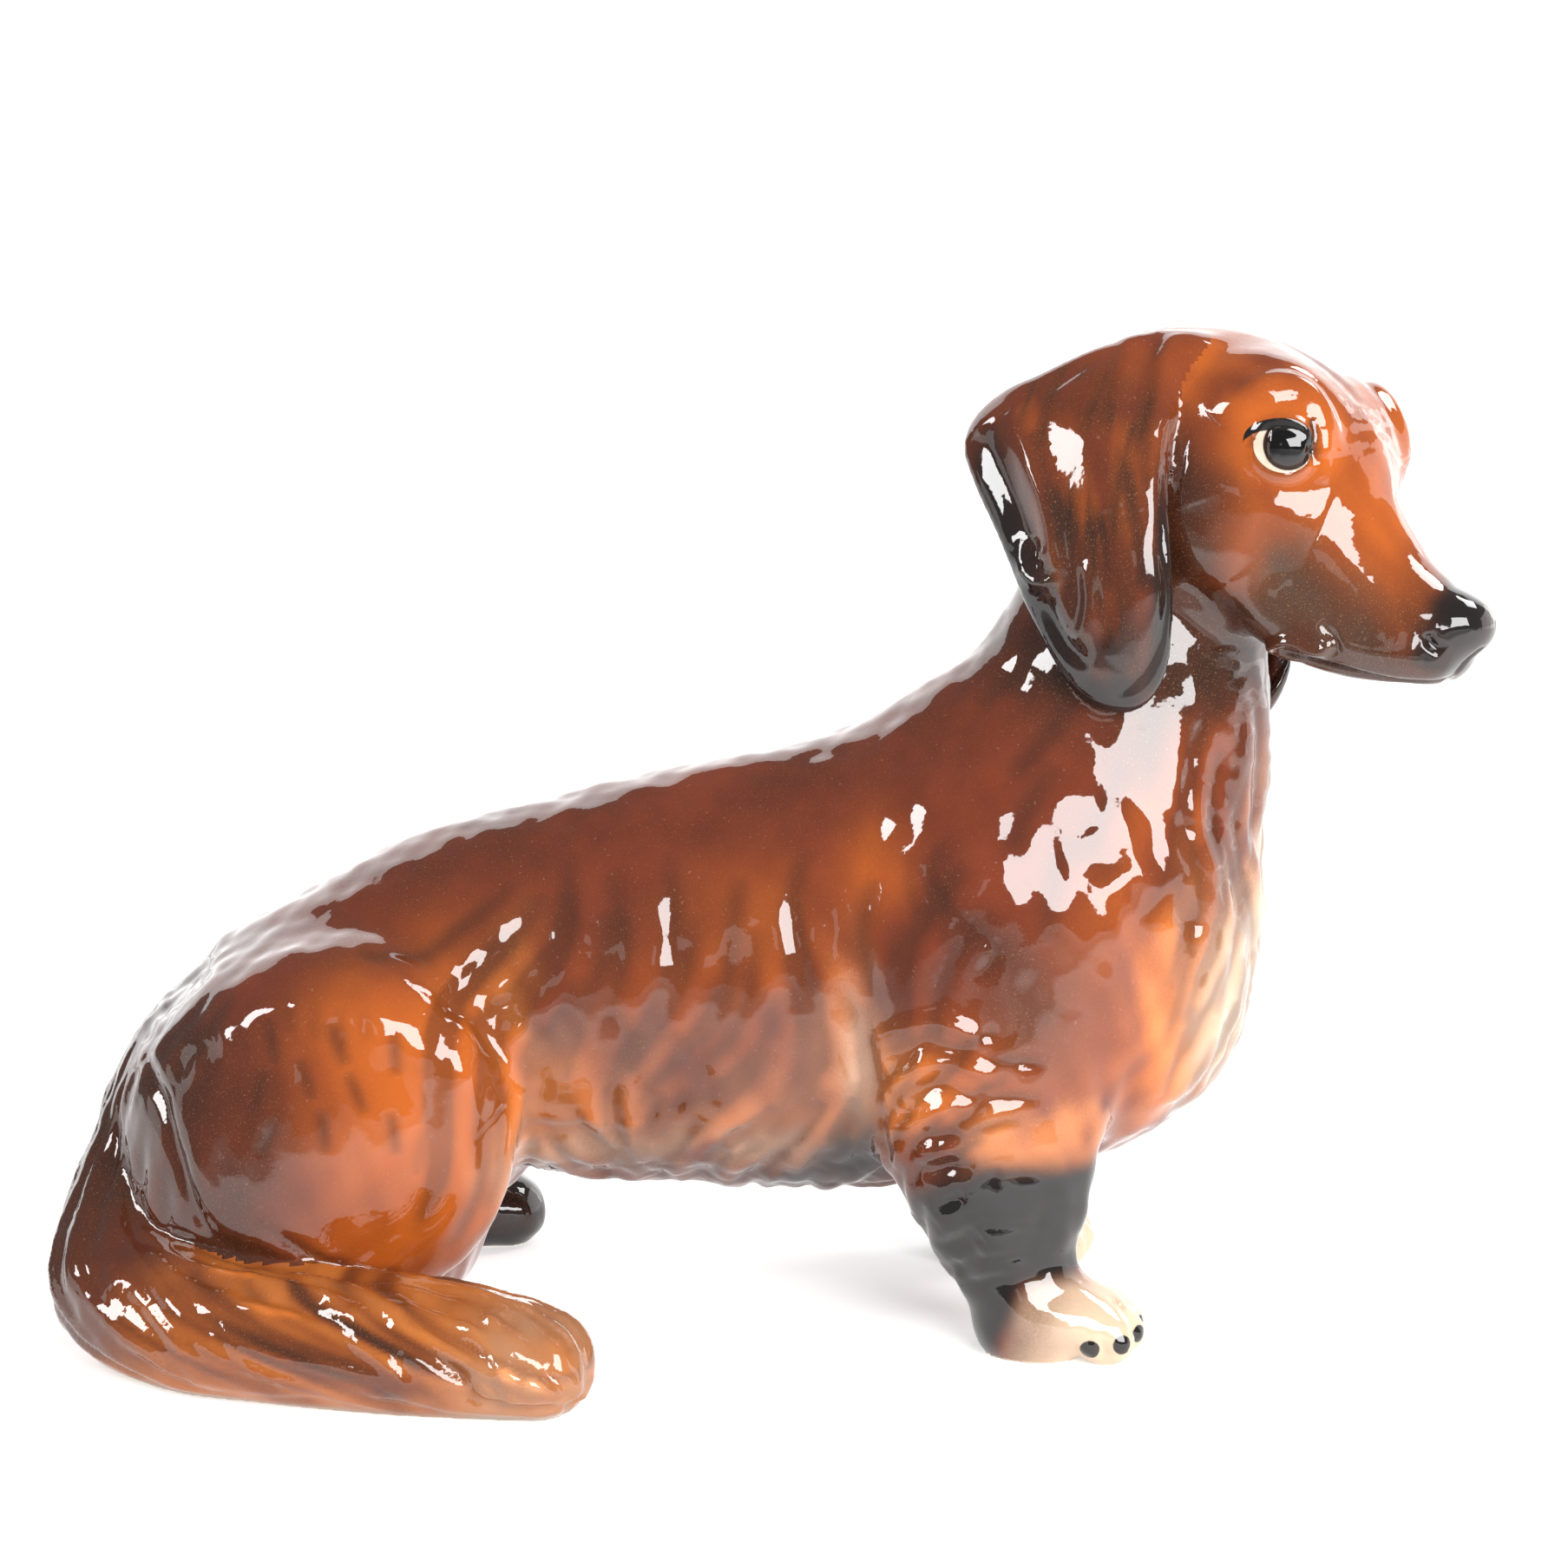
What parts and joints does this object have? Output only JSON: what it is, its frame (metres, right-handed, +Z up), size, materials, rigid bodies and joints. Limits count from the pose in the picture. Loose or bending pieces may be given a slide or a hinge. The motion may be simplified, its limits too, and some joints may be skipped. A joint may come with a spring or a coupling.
{
  "type": "dog figurine",
  "caption": "Glazed ceramic figurine of a seated long-haired dachshund with its head turned to one side and its tail curled along the ground.",
  "frame": {"origin": "middle of the bounding box's footprint, on the surface the figurine stands on", "axes": "+X from the tail towards the chest, +Y to the dog's left (the side the tail is not on), +Z up"},
  "size_m": [0.2506, 0.1168, 0.178],
  "materials": {
    "body_glaze": "clear gloss over airbrushed russet, shading to orange on the chest and thigh and salmon on the belly",
    "head_glaze": "clear gloss over airbrushed orange-brown, with a black nose and eyes",
    "ear_glaze": "clear gloss over dark brown, black along the back edge and the tip",
    "foreleg_glaze": "clear gloss over black, orange at the elbow and cream on the paw",
    "tail_glaze": "clear gloss over orange streaked with dark brown",
    "hind_foot_glaze": "clear gloss over very dark brown"
  },
  "bodies": {
    "root": {"body": "body_glaze", "head": "head_glaze", "ear_right": "ear_glaze", "ear_left": "ear_glaze", "foreleg_right": "foreleg_glaze", "foreleg_left": "foreleg_glaze", "tail": "tail_glaze", "hind_foot_left": "hind_foot_glaze"}
  },
  "joints": []
}
